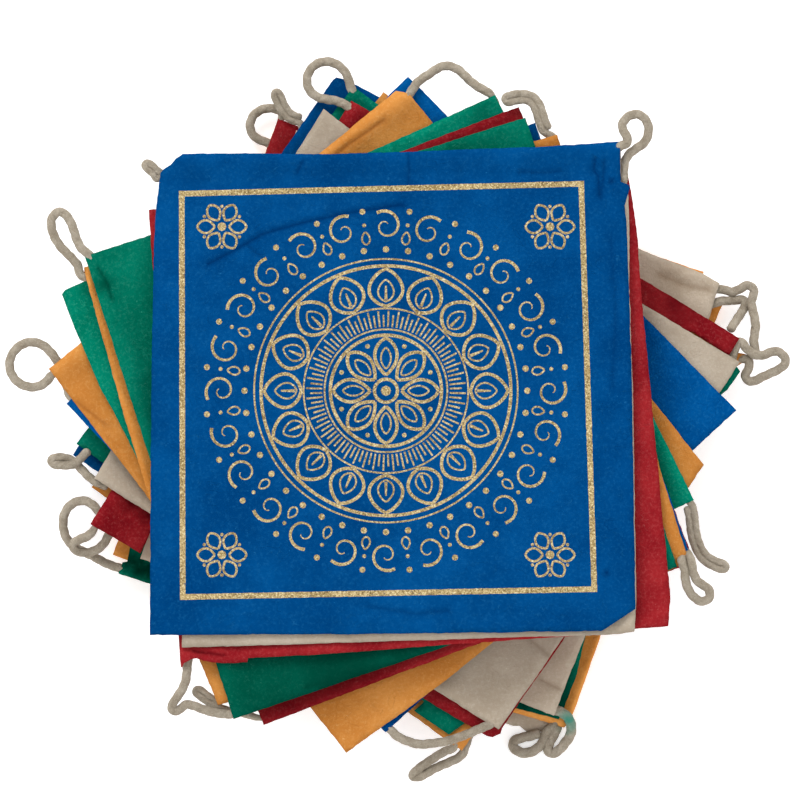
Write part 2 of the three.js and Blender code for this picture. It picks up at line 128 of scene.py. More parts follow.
# One row a stretch: its solid, its width, the hem mouths it comes out of and goes into (a flag and
# which end of its hem), and its route. At "tip" it turns round and comes back beside itself.
CORDS = [
    ("cord_01_torn_corner", 3.7, ("flag_01_blue", 0), "tip", [
        (-68.2, 69.4, 35.5), (-70.1, 71.1, 35.6), (-72.0, 72.7, 35.6),
    ]),
    ("cord_02_upper_right", CORD, ("flag_01_blue", 1), ("flag_02_white", 0), [
        (66.0, 78.4, 37.6), (68.1, 79.3, 37.7), (67.3, 81.8, 37.5), (66.2, 84.2, 37.2),
        (68.0, 86.9, 36.8), (71.1, 87.6, 36.4), (73.4, 85.7, 36.1), (74.1, 82.8, 35.8),
        (73.0, 79.5, 35.5), (70.6, 77.7, 35.2), (68.4, 76.0, 34.9), (67.1, 73.8, 34.7),
        (66.8, 70.8, 34.6), (66.7, 67.9, 34.6),
    ]),
    ("cord_03_lower_left", CORD, None, ("flag_04_green", 0), [
        (-59.2, -66.0, 32.6), (-59.7, -68.7, 32.6), (-60.2, -71.5, 32.6), (-60.5, -74.4, 32.7),
        (-60.9, -77.7, 32.7), (-62.2, -80.6, 32.6), (-64.0, -83.2, 32.3), (-65.2, -85.8, 31.9),
        (-63.1, -86.4, 31.6), (-60.8, -84.4, 31.4), (-57.6, -85.2, 31.2), (-54.7, -86.3, 30.9),
        (-51.5, -87.0, 30.7), (-48.0, -87.3, 30.6),
    ]),
    ("cord_04_upper_left", CORD, ("flag_04_green", 1), ("flag_05_orange", 0), [
        (-89.1, 46.9, 34.2), (-91.0, 48.1, 34.2), (-92.6, 51.0, 34.1), (-93.8, 54.8, 33.8),
        (-95.4, 57.8, 33.5), (-97.7, 59.3, 33.1), (-100.0, 57.1, 32.7), (-99.6, 53.0, 32.3),
        (-97.5, 49.2, 32.0), (-94.6, 46.2, 31.7), (-92.4, 43.7, 31.5), (-91.9, 41.5, 31.4),
        (-91.1, 40.3, 31.4),
    ]),
    ("cord_05_top_hook", 4, ("flag_05_orange", 1), "tip", [
        (44.2, 82.8, 29.9), (42.8, 86.3, 29.8), (41.6, 90.1, 29.6), (39.6, 92.3, 29.2),
        (36.3, 92.7, 28.8), (33.1, 92.0, 28.4),
    ]),
    ("cord_06_lower_right", CORD, ("flag_06_blue", 1), ("flag_07_white", 0), [
        (83.6, -42.4, 34.5), (84.6, -45.0, 34.4), (84.9, -48.8, 33.8), (86.5, -52.3, 33.0),
        (89.4, -54.5, 32.4), (91.9, -53.3, 32.2), (91.5, -50.7, 32.4), (88.6, -48.8, 33.0),
        (87.0, -45.9, 33.8), (86.5, -42.6, 34.5),
    ]),
    ("cord_07_lower_left_inner", 3.6, ("flag_08_red", 1), "tip", [
        (-50.3, -84.7, 28.6), (-53.5, -83.5, 28.5), (-57.3, -80.7, 28.3),
    ]),
    ("cord_08_right_knot", 3.8, ("flag_09_green", 1), "tip", [
        (86.1, -26.5, 22.1), (86.8, -29.8, 21.9), (87.2, -33.9, 21.7), (88.3, -38.0, 21.5),
        (90.3, -41.5, 21.3), (93.2, -43.4, 21.1), (96.0, -44.4, 20.9),
    ]),
    ("cord_09_top_arc", CORD, ("flag_09_green", 0), ("flag_10_orange", 1), [
        (27.2, 94.2, 23.2), (25.0, 95.3, 23.1), (22.2, 97.3, 22.9), (20.0, 99.5, 22.7),
        (18.1, 101.0, 22.6), (15.1, 101.9, 22.6), (12.4, 101.0, 22.7), (10.3, 99.5, 22.8),
        (6.8, 97.1, 22.9), (4.4, 93.6, 23.0),
    ]),
    ("cord_10_left_ring", CORD, ("flag_10_orange", 0), ("flag_11_blue", 1), [
        (-100.3, 11.3, 23.8), (-102.2, 9.1, 23.7), (-105.4, 8.0, 23.4), (-109.2, 9.0, 23.0),
        (-111.8, 11.9, 22.6), (-112.3, 15.7, 22.2), (-110.4, 19.3, 21.8), (-106.7, 21.2, 21.5),
        (-102.8, 20.4, 21.2), (-99.9, 17.7, 21.0), (-97.5, 13.9, 20.9), (-96.1, 9.9, 21.0),
        (-94.8, 5.5, 21.4),
    ]),
    ("cord_11_bottom_arc", CORD, ("flag_11_blue", 0), ("flag_12_white", 0), [
        (-0.9, -92.2, 21.2), (1.0, -94.0, 21.0), (4.2, -95.4, 20.6), (7.2, -96.2, 20.1),
        (11.3, -95.9, 19.7), (15.6, -95.2, 19.5), (20.0, -93.7, 19.4), (23.2, -92.4, 19.4),
    ]),
    ("cord_12_left_branch", 2.4, None, None, [
        (-89.2, -10.3, 17.0), (-91.8, -12.9, 18.0), (-93.3, -14.4, 18.6), (-95.3, -14.8, 18.3),
        (-98.0, -14.7, 17.6), (-99.9, -14.4, 17.3), (-100.4, -13.5, 17.2), (-99.6, -12.6, 17.2),
        (-97.4, -12.4, 17.1), (-95.0, -12.9, 16.6), (-93.3, -14.0, 16.2), (-91.5, -15.8, 16.4),
        (-89.7, -17.7, 16.6), (-87.9, -19.2, 16.7), (-85.6, -20.4, 16.7), (-83.6, -21.0, 16.7),
    ]),
    ("cord_13_left_ring", CORD, None, ("flag_19_green", 0), [
        (-85.0, -30.1, 14.8), (-86.9, -27.6, 14.4), (-89.1, -25.6, 13.8), (-91.9, -25.1, 13.0),
        (-94.8, -26.5, 12.1), (-96.5, -29.2, 11.1), (-96.8, -32.4, 10.1), (-96.1, -35.6, 9.1),
        (-94.2, -38.1, 8.3), (-91.1, -39.9, 7.7), (-87.8, -41.5, 7.2), (-85.0, -43.1, 6.9),
        (-82.0, -44.3, 6.7),
    ]),
    ("cord_14_left_strand", CORD, ("flag_13_red", 0), None, [
        (-87.9, -33.7, 17.6), (-89.3, -35.3, 17.0), (-91.4, -36.2, 16.0), (-93.8, -37.4, 14.9),
        (-93.5, -39.4, 13.9), (-90.4, -40.3, 13.3), (-87.3, -39.6, 13.3), (-85.0, -37.8, 13.6),
        (-83.7, -35.5, 14.2), (-82.6, -33.2, 14.8),
    ]),
    ("cord_15_top_ring", CORD, ("flag_14_green", 0), ("flag_13_red", 1), [
        (-13.1, 96.8, 14.6), (-14.1, 99.6, 14.3), (-16.6, 102.2, 13.9), (-20.0, 103.2, 13.6),
        (-23.5, 102.0, 13.6), (-25.5, 98.8, 14.0), (-25.1, 95.2, 14.8), (-22.6, 92.8, 15.6),
        (-19.2, 92.0, 16.2), (-16.2, 91.4, 16.4),
    ]),
    ("cord_16_right_loop", CORD, ("flag_14_green", 1), ("flag_15_orange", 0), [
        (100.4, 21.5, 14.7), (102.9, 19.2, 14.5), (105.8, 17.3, 14.2), (108.4, 17.6, 13.8),
        (110.7, 18.6, 13.4), (113.1, 17.9, 13.1), (114.4, 15.5, 12.8), (112.5, 13.4, 12.5),
        (107.8, 11.2, 12.3), (104.3, 9.6, 12.1), (102.3, 11.2, 11.9), (103.6, 13.9, 11.8),
        (103.2, 16.3, 11.7),
    ]),
    ("cord_17_right_knot", CORD, ("flag_18_red", 1), None, [
        (93.8, 36.7, 6.8), (96.1, 36.7, 6.8), (98.5, 35.8, 7.0), (101.1, 36.8, 7.4),
        (103.4, 38.0, 7.8), (105.2, 36.1, 8.3), (104.2, 33.0, 8.9), (104.9, 29.7, 9.8),
        (105.5, 26.0, 10.8), (104.9, 21.5, 11.9), (105.4, 19.2, 12.1), (105.6, 17.4, 11.9),
    ]),
    ("cord_18_right_inner", CORD, ("flag_18_red", 1), None, [
        (91.2, 32.3, 6.8), (94.4, 33.0, 6.7), (96.6, 33.3, 6.6), (99.4, 33.4, 6.5),
        (101.5, 33.7, 6.5), (102.7, 32.8, 6.9), (101.7, 30.4, 8.8), (99.9, 27.7, 11.6),
        (97.9, 24.6, 14.6),
    ]),
    ("cord_19_upper_left_ring", CORD, ("flag_18_red", 0), None, [
        (-32.8, 88.2, 6.0), (-35.4, 89.5, 5.9), (-38.6, 89.3, 5.7), (-41.4, 87.3, 5.4),
        (-42.3, 84.0, 5.1), (-41.0, 81.3, 4.9), (-39.2, 80.3, 4.8), (-36.6, 79.3, 4.6),
        (-34.0, 78.4, 4.6),
    ]),
    ("cord_20_upper_left_bulb", 3.7, ("flag_17_white", 1), "tip", [
        (-27.2, 86.1, 9.2), (-30.2, 86.9, 9.1), (-32.5, 89.5, 8.9), (-34.4, 93.6, 8.6),
    ]),
    ("cord_21_bottom_narrow_loop", CORD, ("flag_15_orange", 1), ("flag_16_blue", 0), [
        (17.1, -97.4, 13.6), (14.5, -98.4, 13.5), (10.7, -100.8, 13.3), (6.9, -103.5, 13.0),
        (5.0, -105.7, 12.6), (7.5, -105.7, 12.2), (11.8, -103.3, 11.8), (16.2, -101.4, 11.4),
        (19.4, -99.7, 11.1), (20.6, -97.2, 10.9),
    ]),
    ("cord_22_bottom_ring", 2.8, None, ("flag_20_orange", 0), [
        (42.8, -93.0, 1.6), (39.4, -94.0, 1.6), (36.9, -94.5, 1.6), (35.0, -95.3, 1.6),
        (34.5, -96.6, 1.6), (35.5, -98.1, 1.6), (37.9, -99.0, 1.6), (40.4, -98.4, 1.6),
        (42.4, -97.0, 1.6), (43.9, -94.9, 1.6), (44.5, -92.7, 1.8),
    ]),
    ("cord_23_bottom_loop", 2.8, None, None, [
        (40.5, -84.0, 6.0), (44.2, -85.5, 6.3), (47.4, -86.4, 6.5), (49.0, -87.1, 6.4),
        (50.5, -88.2, 6.0), (51.5, -90.0, 5.2), (51.7, -91.9, 4.2), (51.4, -93.8, 3.4),
        (50.0, -95.8, 2.6), (48.4, -97.8, 2.0), (46.3, -99.1, 1.5), (44.9, -98.4, 1.6),
        (45.0, -96.6, 1.6), (46.1, -94.4, 1.6), (47.3, -92.2, 1.6), (47.6, -90.5, 1.6),
    ]),
]


def mesh_piece(name, points, faces, materials, face_materials=None):
    """A smooth mesh that rides on the pile's one body."""
    mesh = bpy.data.meshes.new(name)
    mesh.from_pydata((np.asarray(points) * MM).tolist(), [], faces)
    for material in materials:
        mesh.materials.append(material)
    if face_materials is not None:
        mesh.polygons.foreach_set("material_index", face_materials)
    mesh.polygons.foreach_set("use_smooth", [True] * len(mesh.polygons))
    mesh.update()
    piece = bpy.data.objects.new(name, mesh)
    bpy.context.scene.collection.objects.link(piece)
    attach(piece, "root")
    return piece


class Finish:
    """One material, built up from shader nodes in coordinates of the piece's own millimetres."""

    def __init__(self, name, roughness, specular=0.0, metallic=0.0):
        self.material = bpy.data.materials.new(name)
        self.material.use_nodes = True
        self.tree = self.material.node_tree
        self.shader = self.tree.nodes["Principled BSDF"]
        self.shader.inputs["Roughness"].default_value = roughness
        self.shader.inputs["Specular IOR Level"].default_value = specular
        self.shader.inputs["Metallic"].default_value = metallic

    def add(self, kind, inputs, **settings):
        node = self.tree.nodes.new(kind)
        for key, value in settings.items():
            setattr(node, key, value)
        for key, value in inputs.items():
            if isinstance(value, bpy.types.NodeSocket):
                self.tree.links.new(value, node.inputs[key])
            else:
                node.inputs[key].default_value = value
        return node

    def place(self, shift=(0, 0, 0), stretch=(1, 1, 1), turn=0):
        where = self.add("ShaderNodeTexCoord", {}).outputs["Object"]
        inputs = {
            "Vector": where,
            "Location": shift,
            "Rotation": (0, 0, math.radians(turn)),
            "Scale": [s / MM for s in stretch],
        }
        return self.add("ShaderNodeMapping", inputs).outputs["Vector"]

    def noise(self, where, size, detail=2, roughness=0.5, distortion=0):
        """Soft noise with lumps about `size` millimetres wide."""
        inputs = {
            "Vector": where,
            "Scale": 1 / size,
            "Detail": detail,
            "Roughness": roughness,
            "Distortion": distortion,
        }
        return self.add("ShaderNodeTexNoise", inputs).outputs[0]

    def steps(self, value, low, high, start=0.0, end=1.0):
        """Takes low..high to start..end, and holds it there beyond."""
        inputs = {
            "Value": value,
            "From Min": low,
            "From Max": high,
            "To Min": start,
            "To Max": end,
        }
        return self.add("ShaderNodeMapRange", inputs).outputs[0]

    def math(self, operation, a, b):
        return self.add("ShaderNodeMath", {0: a, 1: b}, operation=operation).outputs[0]

    def mix(self, share, a, b):
        """Colour a, turning into colour b as share goes from 0 to 1."""
        inputs = {"Factor": share, 6: a, 7: b}
        return self.add("ShaderNodeMix", inputs, data_type="RGBA").outputs[2]

    def lines(self, where, size, wide, distortion=1.0):
        """Thin curved lines, where a noise passes through its middle: 1 on them and 0 elsewhere."""
        wave = self.math("SUBTRACT", self.noise(where, size, 1, 0.5, distortion), 0.5)
        return self.steps(self.math("ABSOLUTE", wave, 0.0), 0.0, wide, 1.0, 0.0)

    def spot(self, centre, radius):
        """1 in the middle of a blurred spot, 0 outside its radius."""
        where = self.place(stretch=(1, 1, 0))
        inputs = {0: where, 1: (*centre, 0)}
        away = self.add("ShaderNodeVectorMath", inputs, operation="DISTANCE").outputs["Value"]
        ragged = self.math("MULTIPLY", self.noise(where, radius * 0.6, 3), radius)
        return self.steps(self.math("ADD", away, ragged), radius * 0.5, radius * 1.5, 1.0, 0.0)

    def done(self, colour, height, depth):
        """Links the colour, and the height in 0..1 as a relief `depth` millimetres deep."""
        self.tree.links.new(colour, self.shader.inputs["Base Color"])
        inputs = {"Height": height, "Distance": depth * MM, "Strength": 1}
        bump = self.add("ShaderNodeBump", inputs)
        self.tree.links.new(bump.outputs["Normal"], self.shader.inputs["Normal"])
        return self.material


def rgb(red, green, blue):
    """A screen colour in 0..255 as the linear colour that shaders take."""
    linear = [
        c / 12.92 if c <= 0.04045 else ((c + 0.055) / 1.055) ** 2.4
        for c in (red / 255, green / 255, blue / 255)
    ]
    return (*linear, 1)


COTTON_DULL = (152, 140, 122)
COTTON_PALE = (182, 171, 154)
LINT = (208, 199, 184)
# Painted shade: the dark cotton colour goes where the fuzz relief is low, between the fibres
COTTON_HOLLOW_SHADE = (108, 94, 77)
GREEN_DYE = (60, 150, 132)
STAIN_PLACE = (51.0, -89.5)
STAIN_WIDE = 4.5


def cotton(name, stains=()):
    """Fuzzy undyed cotton, with painted shade in the low places of its fuzz, and a blurred stain for
    each colour, place and radius given.
    """
    make = Finish(name, roughness=0.95)
    where = make.place()
    fuzz = make.noise(where, 0.35, 5, 0.75, 1.2)
    blotch = make.noise(where, 3.0, 3)
    tint = make.mix(make.steps(blotch, 0.3, 0.7), rgb(*COTTON_DULL), rgb(*COTTON_PALE))
    tint = make.mix(make.steps(fuzz, 0.48, 0.75, 0, 0.7), tint, rgb(*LINT))
    # Painted shade in the hollows of the fuzz
    tint = make.mix(make.steps(fuzz, 0.48, 0.25, 0, 0.6), tint, rgb(*COTTON_HOLLOW_SHADE))
    for colour, centre, radius in stains:
        tint = make.mix(make.spot(centre, radius), tint, rgb(*colour))
    hairs = make.lines(make.place(stretch=(1, 1, 0.4)), 1.1, 0.03, 2.0)
    relief = make.math("ADD", make.math("MULTIPLY", fuzz, 0.7), make.math("MULTIPLY", hairs, 0.3))
    return make.done(tint, relief, 0.45)


PLAIN_COTTON = cotton("undyed_cotton")
STAINED_COTTON = cotton("dye_stained_cotton", [(GREEN_DYE, STAIN_PLACE, STAIN_WIDE)])


def soften(field, width):
    """A blur that treats every height field alike, so that no sheet cuts the next."""
    reach = math.ceil(3 * width)
    kernel = np.exp(-0.5 * (np.arange(-reach, reach + 1) / width) ** 2)
    kernel /= kernel.sum()
    for _ in range(2):
        wide = np.pad(field, ((reach, reach), (0, 0)), mode="edge")
        field = sum(k * wide[i : i + field.shape[0]] for i, k in enumerate(kernel)).T
    return field


def levels_of(node):
    """Heights of a solid's underside over a square grid, carried on beyond its edges."""
    mesh = node.data
    tree = BVHTree.FromPolygons([v.co for v in mesh.vertices], [p.vertices for p in mesh.polygons])
    line = np.arange(-LEVEL_REACH, LEVEL_REACH + 1, LEVEL_STEP)
    field = np.full((len(line), len(line)), np.nan)
    for j, y in enumerate(line):
        for i, x in enumerate(line):
            hit = tree.ray_cast(Vector((x * MM, y * MM, -1)), Vector((0, 0, 1)))[0]
            if hit is not None:
                field[j, i] = hit.z / MM
    while np.isnan(field).any():
        wide = np.pad(field, 1, constant_values=np.nan)
        rows, columns = field.shape
        around = np.array([
            wide[j : j + rows, i : i + columns] for j in range(3) for i in range(3)
        ])
        known = ~np.isnan(around)
        filled = np.isnan(field) & known.any(axis=0)
        total = np.where(known, around, 0).sum(axis=0)
        field[filled] = total[filled] / known.sum(axis=0)[filled]
    return soften(field, LEVEL_SOFT)


levels = {name: levels_of(node) for name, node in nodes.items() if name in HEMS}


def lie_of(name, x, y):
    """How high a flag's sheet lies at one place, with its own shallow wrinkles."""
    field = levels[name]
    last = field.shape[0] - 1.001
    u = min(max((x + LEVEL_REACH) / LEVEL_STEP, 0), last)
    v = min(max((y + LEVEL_REACH) / LEVEL_STEP, 0), last)
    i, j = int(u), int(v)
    s, t = u - i, v - j
    near = field[j, i] * (1 - s) + field[j, i + 1] * s
    far = field[j + 1, i] * (1 - s) + field[j + 1, i + 1] * s
    spot = Vector((x / WRINKLE_WIDE, y / WRINKLE_WIDE, list(HEMS).index(name) * 7.3))
    return near * (1 - t) + far * t + SHEET_LOW + WRINKLE * noise.fractal(spot, 0.7, 2.1, 4)


def hidden_run(name, end, length):
    """Points of the cord inside a hem, from one of its mouths inwards."""
    hem = HEMS[name]
    mouth, other = Vector(hem[end]), Vector(hem[1 - end])
    along = (other - mouth).normalized()
    places = [mouth + along * s for s in np.arange(HIDDEN_START, length + 0.1, HIDDEN_STEP)]
    return [(p.x, p.y, lie_of(name, p.x, p.y) + HIDDEN_RISE) for p in places]


def smooth_path(points, step):
    """A Catmull-Rom curve through the points, in equal steps."""
    points = [np.array(p, float) for p in points]
    points = [2 * points[0] - points[1], *points, 2 * points[-1] - points[-2]]
    fine = []
    for a, b, c, d in zip(points, points[1:], points[2:], points[3:]):
        for t in np.linspace(0, 1, 12, endpoint=False):
            square = (2 * a - 5 * b + 4 * c - d) * t**2
            cube = (3 * b - a - 3 * c + d) * t**3
            fine.append((2 * b + (c - a) * t + square + cube) / 2)
    fine = np.array([*fine, points[-2]])
    away = np.concatenate([[0], np.cumsum(np.linalg.norm(np.diff(fine, axis=0), axis=1))])
    places = np.linspace(0, away[-1], max(4, round(away[-1] / step)))
    return np.stack([np.interp(places, away, fine[:, k]) for k in range(3)], axis=1)


def eased(path):
    """The path with its sharpest kinks rounded off, and its ends kept."""
    for _ in range(EASE_ROUNDS):
        path[1:-1] = (path[:-2] + 2 * path[1:-1] + path[2:]) / 4
    return path


def length_of(path):
    """How long a path of points is."""
    return float(np.linalg.norm(np.diff(path, axis=0), axis=1).sum())


def doubled(route, strand):
    """Out along the route and back beside it, with a round turn at its tip."""
    gap = strand * DOUBLED_APART
    centre = smooth_path(route, DOUBLED_STEP)
    along = np.gradient(centre, axis=0)
    side = np.stack([-along[:, 1], along[:, 0], 0 * along[:, 0]], axis=1)
    side /= np.linalg.norm(side, axis=1)[:, None]
    end = along[-1] / np.linalg.norm(along[-1])
    spread = np.interp(np.linspace(0, 1, len(centre)), [0, 0.7, 1], [gap, gap, strand])
    apart = side * spread[:, None] / 2
    turn = [
        centre[-1] + (side[-1] * math.cos(a) + end * math.sin(a)) * strand / 2
        for a in np.linspace(0, math.pi, 7)[1:-1]
    ]
    return [*(centre + apart), *turn, *(centre - apart)[::-1]]


def twisted_cord(name, path, thick, thin_ends, material):
    """Three plies wound round each other, as one closed tube along the path."""
    along = np.gradient(path, axis=0)
    along /= np.linalg.norm(along, axis=1)[:, None]
    normal = np.cross(along[0], [0.0, 0.3, 1.0])
    travelled = np.arange(len(path)) * length_of(path) / (len(path) - 1)
    left = travelled[-1] - travelled
    thin = np.ones(len(path))
    for away, hidden in ((travelled, thin_ends[0]), (left, thin_ends[1])):
        if hidden:
            thin = np.minimum(thin, np.interp(away, [hidden, hidden + THIN_OVER], [HIDDEN_THIN, 1]))
    blunt = np.minimum(1, BLUNT_TIP + np.minimum(travelled, left))
    points = []
    for i, centre in enumerate(path):
        normal = normal - along[i] * np.dot(normal, along[i])
        normal /= np.linalg.norm(normal)
        other = np.cross(along[i], normal)
        wind = 2 * math.pi * travelled[i] / TURNS_EVERY
        lump = LUMPS * noise.noise(Vector((travelled[i] / LUMP_LONG, path[0][0], 0)))
        for k in range(RING_SIDES):
            a = 2 * math.pi * k / RING_SIDES
            ply = FLUFF - GROOVE * (1 - abs(math.sin(PLIES / 2 * (a + wind)))) ** 1.5
            rough = Vector((travelled[i] / FRAY_LONG, 2 * math.cos(a), 2 * math.sin(a)))
            fray = noise.noise(rough)
            reach = thick / 2 * thin[i] * blunt[i] * (ply + lump + FRAY * fray)
            points.append(centre + reach * (math.cos(a) * normal + math.sin(a) * other))
    faces = [
        (i * RING_SIDES + k, i * RING_SIDES + (k + 1) % RING_SIDES,
         (i + 1) * RING_SIDES + (k + 1) % RING_SIDES, (i + 1) * RING_SIDES + k)
        for i in range(len(path) - 1)
        for k in range(RING_SIDES)
    ]
    faces.append(tuple(range(RING_SIDES))[::-1])
    faces.append(tuple(range((len(path) - 1) * RING_SIDES, len(path) * RING_SIDES)))
    return mesh_piece(name, points, faces, [material])


for node, wide, start, end, route in CORDS:
    strand = wide
    if end == "tip":
        strand = wide * DOUBLED_STRAND
        route = doubled(route, strand)
    mouths = [mouth if mouth and mouth != "tip" else None for mouth in (start, end)]
    missing = CORD_LEAST - length_of(smooth_path(route, 0.5))
    hidden = max(HIDDEN_LEAST, missing / max(1, sum(m is not None for m in mouths)))
    runs = [hidden_run(*mouth, hidden) if mouth else [] for mouth in mouths]
    path = eased(smooth_path([*runs[0][::-1], *route, *runs[1]], RING_STEP))
    covered = [hidden - HIDDEN_START if mouth else 0 for mouth in mouths]
    finish = STAINED_COTTON if node == "cord_23_bottom_loop" else PLAIN_COTTON
    visual = twisted_cord(f"{node}_cotton", path, strand, covered, finish)
    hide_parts(node)

# Flags: each is one square of thick handmade paper, dyed in the pulp, with one edge folded over
# the cord and pasted down. The edges are cut or torn by hand, and the sheets are lightly creased.
SHEET_STEP = 2.5
PRINTED_STEP = 1.6
EDGE_STEP = 1.2
EDGE_ROUGH = 0.28
EDGE_CLEAR = 0.99
HEM_ROWS = (-1.5, -0.9, 0, 1, 2, 3.2)
HEM_STEP = 1.6
CREASE_STEP = 0.9

# One row a flag from the top down: its solid, its dye, and its outline clockwise
FLAGS = [
    ("flag_01_blue", "blue", [
        (-70.9, 3.4), (-70.6, 24.7), (-70.1, 49.2), (-69.5, 59.7), (-68.8, 67.0),
        (-68.3, 70.4), (-67.0, 71.9), (-65.2, 72.9), (-63.8, 74.7), (-61.7, 76.1),
        (-38.6, 76.1), (-18.8, 75.9), (16.2, 77.1), (42.5, 78.1), (65.5, 79.6),
        (66.0, 68.0), (68.3, 67.1), (68.8, 66.2), (68.0, 63.8), (67.1, 60.9),
        (67.6, 56.2), (68.3, 38.2), (69.2, 8.4), (70.2, -56.6), (60.3, -63.0),
        (31.6, -63.4), (-10.0, -63.9), (-71.3, -64.2),
    ]),
    ("flag_02_white", "white", [
        (-60.8, 73.5), (1.6, 74.9), (65.8, 78.3), (66.2, 67.5), (68.0, 66.9),
        (68.4, 56.2), (68.5, 33.5), (69.5, 7.2), (70.5, -54.0), (69.9, -63.2),
        (66.4, -63.8), (60.3, -64.2), (31.6, -64.9), (-10.0, -66.3), (-62.0, -67.8),
    ]),
    ("flag_03_red", "red", [
        (-71.6, 59.7), (1.6, 67.0), (67.8, 70.8), (68.8, 66.2), (70.0, 59.2),
        (70.9, 50.7), (72.2, 32.3), (74.6, 8.4), (80.4, -53.4), (79.8, -61.6),
        (70.2, -62.4), (53.6, -64.4), (25.0, -66.3), (-21.7, -69.8), (-42.6, -70.9),
        (-42.9, -72.1), (-47.5, -72.4), (-52.7, -72.2), (-55.9, -71.6), (-57.7, -70.9),
        (-59.2, -71.1), (-60.0, -71.6), (-61.4, -72.4), (-61.9, -73.7), (-62.3, -73.5),
    ]),
    ("flag_04_green", "green", [
        (-90.3, 46.3), (-27.5, 66.2), (38.1, 86.6), (82.4, -44.4), (17.7, -66.6),
        (-46.9, -88.7),
    ]),
    ("flag_05_orange", "orange", [
        (-90.5, 42.8), (47.4, 81.7), (85.6, -42.4), (79.5, -46.1), (-51.5, -84.7),
        (-56.7, -71.8), (-71.3, -24.9), (-78.6, -0.9), (-82.2, 11.9), (-87.1, 29.4),
    ]),
    ("flag_06_blue", "blue", [
        (-84.7, 39.9), (41.1, 85.2), (86.8, -42.4), (71.6, -47.9), (25.0, -64.0),
        (-27.5, -82.1), (-38.3, -85.8),
    ]),
    ("flag_07_white", "white", [
        (-83.0, 42.2), (37.8, 86.0), (86.2, -40.9), (-36.6, -84.4),
    ]),
    ("flag_08_red", "red", [
        (-89.4, 42.2), (36.3, 89.8), (87.5, -42.9), (-38.2, -90.5),
    ]),
    ("flag_09_green", "green", [
        (-97.0, 35.1), (-96.1, 36.4), (29.4, 93.3), (87.4, -24.9), (-38.9, -82.6),
        (-71.0, -21.4), (-80.8, -1.2), (-85.7, 7.5), (-91.4, 20.9),
    ]),
    ("flag_10_orange", "orange", [
        (-101.0, 13.4), (-22.2, 76.0), (0.4, 94.6), (2.8, 94.2), (4.6, 93.3),
        (90.3, -14.6), (85.9, -21.1), (29.6, -65.6), (15.0, -77.6), (-14.1, -98.7),
    ]),
    ("flag_11_blue", "blue", [
        (-95.8, 3.2), (-13.0, 81.3), (-6.0, 88.3), (-1.6, 93.4), (4.0, 98.7),
        (99.8, 1.3), (-2.7, -92.8),
    ]),
    ("flag_12_white", "white", [
        (-87.8, -18.6), (-20.7, 89.3), (-12.9, 83.4), (100.8, 15.4), (47.9, -67.2),
        (30.4, -91.9),
    ]),
    ("flag_13_red", "red", [
        (-88.8, -31.9), (-82.7, -22.2), (-12.6, 91.8), (100.7, 22.3), (97.5, 17.3),
        (86.6, 24.4), (85.0, 23.2), (52.0, -61.5), (48.5, -67.1), (39.2, -80.1),
        (31.4, -91.4), (30.9, -93.0), (28.6, -94.2), (27.0, -93.9), (-60.0, -42.0),
        (-70.6, -33.1), (-74.2, -40.4),
    ]),
    ("flag_14_green", "green", [
        (-93.0, -8.4), (-11.9, 95.9), (-5.5, 91.1), (-1.0, 87.8), (100.2, 13.8),
        (101.0, 12.6), (97.2, 7.4), (93.0, 4.0), (20.3, -90.2), (15.9, -93.4),
        (5.7, -86.4), (8.6, -83.8),
    ]),
    ("flag_15_orange", "orange", [
        (-88.5, -21.2), (-3.3, 94.2), (99.9, 18.3), (102.6, 17.7), (102.0, 15.3),
        (99.6, 13.9), (19.7, -98.1),
    ]),
    ("flag_16_blue", "blue", [
        (-94.0, -11.7), (-17.9, 98.0), (-17.0, 98.6), (-15.0, 98.1), (-10.8, 96.1),
        (-4.0, 92.5), (97.3, 18.3), (25.0, -91.9),
    ]),
    ("flag_17_white", "white", [
        (-74.4, -42.0), (-28.7, 83.1), (71.6, 48.5), (90.0, 41.2), (95.0, 38.4),
        (92.1, 28.8), (46.6, -87.9),
    ]),
    ("flag_18_red", "red", [
        (-79.5, -35.1), (-34.0, 86.6), (91.5, 38.7), (43.6, -86.4),
    ]),
    ("flag_19_green", "green", [
        (-80.7, -46.4), (-79.5, -43.1), (-78.1, -42.9), (-77.1, -38.3), (-40.4, 75.2),
        (88.0, 32.6), (55.8, -64.8), (53.3, -75.7), (50.6, -82.8), (49.4, -86.0),
        (48.0, -88.9), (35.3, -85.7),
    ]),
    ("flag_20_orange", "orange", [
        (-82.4, -40.9), (-34.8, 84.5), (71.6, 48.1), (86.2, 43.1), (90.6, 41.8),
        (88.0, 33.5), (95.9, 32.2), (93.2, 25.9), (86.2, 27.1), (60.6, -63.5),
        (54.8, -80.3), (52.2, -87.4), (50.4, -90.7), (49.6, -91.5), (34.5, -87.0),
    ]),
    ("flag_21_white", "white", [
        (-80.0, -37.7), (-31.0, 71.4), (94.4, 16.6), (45.3, -92.8), (38.7, -92.8),
        (36.5, -91.0), (34.7, -91.1), (32.7, -90.3),
    ]),
]
